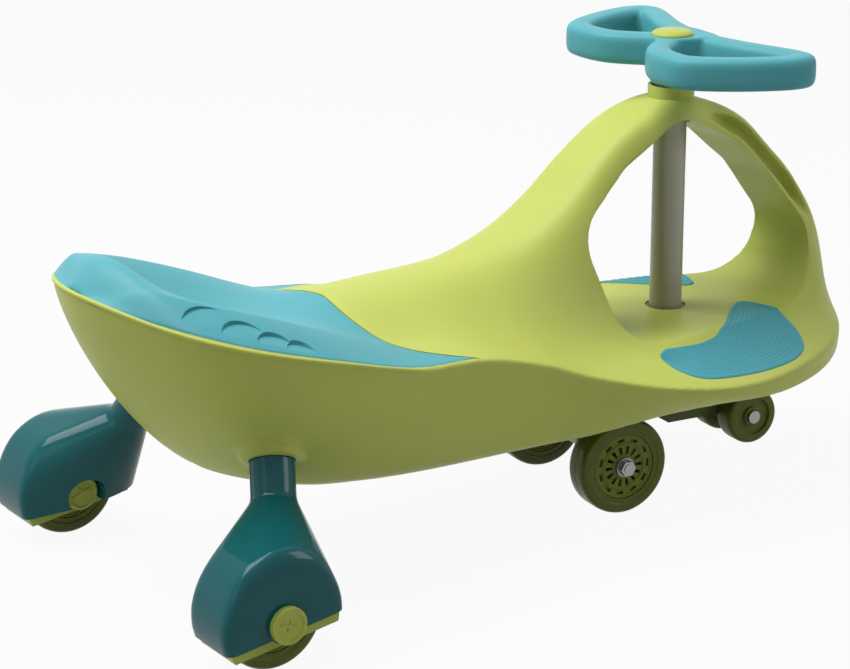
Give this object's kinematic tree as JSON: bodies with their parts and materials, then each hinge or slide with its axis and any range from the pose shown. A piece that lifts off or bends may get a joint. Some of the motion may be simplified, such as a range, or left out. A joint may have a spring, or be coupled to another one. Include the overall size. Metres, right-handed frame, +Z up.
{
  "type": "wiggle car",
  "caption": "Ride-on wiggle car: moulded shell with seat cap, arch and footrests, rear wheels on splayed legs, and a swinging yoke of trailing wheels turned by a looped steering wheel.",
  "frame": {"origin": "on the ground, under the middle of the car's length and width", "axes": "+X forward, +Y to the rider's left, +Z up"},
  "size_m": [0.715, 0.381, 0.3785],
  "materials": {
    "lime_plastic": "satin",
    "lime_trim": "satin",
    "teal_plastic": "satin",
    "teal_rubber": "matt, ribbed",
    "teal_gloss": "gloss",
    "olive_tyre": "translucent, smooth",
    "olive_hub": "moulded",
    "guard_plastic": "moulded",
    "yoke_plastic": "moulded",
    "column_paint": "satin",
    "bush_plastic": "moulded",
    "steel": "zinc plated"
  },
  "bodies": {
    "car_body": {"body_shell": "lime_plastic", "seat_cap": "teal_plastic", "seat_screws": "steel", "footrest_pad_right": "teal_rubber", "footrest_pad_left": "teal_rubber", "upper_column_bush": "bush_plastic", "lower_column_bush": "bush_plastic", "rear_leg_right": "teal_gloss", "rear_leg_left": "teal_gloss", "leg_screws": "steel", "wheel_carrier_right": "lime_trim", "wheel_carrier_left": "lime_trim", "rear_spacers": "steel", "rear_axle_right": "steel", "rear_axle_left": "steel", "axle_caps_right": "lime_trim", "axle_caps_left": "lime_trim"},
    "steering": {"steering_wheel": "teal_plastic", "steering_cap": "lime_trim", "steering_bolt": "steel", "steering_column": "column_paint", "thrust_washer": "steel", "yoke": "yoke_plastic", "yoke_bolt": "steel", "front_axle": "steel", "front_axle_nuts": "steel", "front_spacers": "steel", "guard_axle": "steel"},
    "rear_wheel_right": {"rear_tyre_right": "olive_tyre", "rear_hub_right": "olive_hub", "rear_bearings_right": "steel"},
    "rear_wheel_left": {"rear_tyre_left": "olive_tyre", "rear_hub_left": "olive_hub", "rear_bearings_left": "steel"},
    "front_wheel_right": {"front_tyre_right": "olive_tyre", "front_hub_right": "olive_hub", "front_bearings_right": "steel"},
    "front_wheel_left": {"front_tyre_left": "olive_tyre", "front_hub_left": "olive_hub", "front_bearings_left": "steel"},
    "guard_wheel_right": {"guard_wheel_right": "guard_plastic"},
    "guard_wheel_left": {"guard_wheel_left": "guard_plastic"}
  },
  "joints": [
    {"name": "steer", "type": "hinge", "parent": "car_body", "child": "steering", "pos_m": [0.1905, 0, 0.2], "axis": [0, 0, 1], "continuous": true},
    {"name": "rear_wheel_spin_right", "type": "hinge", "parent": "car_body", "child": "rear_wheel_right", "pos_m": [-0.2925, -0.158, 0.04], "axis": [0, 1, 0], "continuous": true},
    {"name": "rear_wheel_spin_left", "type": "hinge", "parent": "car_body", "child": "rear_wheel_left", "pos_m": [-0.2925, 0.158, 0.04], "axis": [0, 1, 0], "continuous": true},
    {"name": "front_wheel_spin_right", "type": "hinge", "parent": "steering", "child": "front_wheel_right", "pos_m": [0.10027, -0.05487, 0.04], "axis": [0.1045, 0.9945, 0], "continuous": true},
    {"name": "front_wheel_spin_left", "type": "hinge", "parent": "steering", "child": "front_wheel_left", "pos_m": [0.11365, 0.07243, 0.04], "axis": [0.1045, 0.9945, 0], "continuous": true},
    {"name": "guard_wheel_spin_right", "type": "hinge", "parent": "steering", "child": "guard_wheel_right", "pos_m": [0.25997, -0.02781, 0.044], "axis": [0.1045, 0.9945, 0], "continuous": true},
    {"name": "guard_wheel_spin_left", "type": "hinge", "parent": "steering", "child": "guard_wheel_left", "pos_m": [0.26424, 0.01276, 0.044], "axis": [0.1045, 0.9945, 0], "continuous": true}
  ]
}
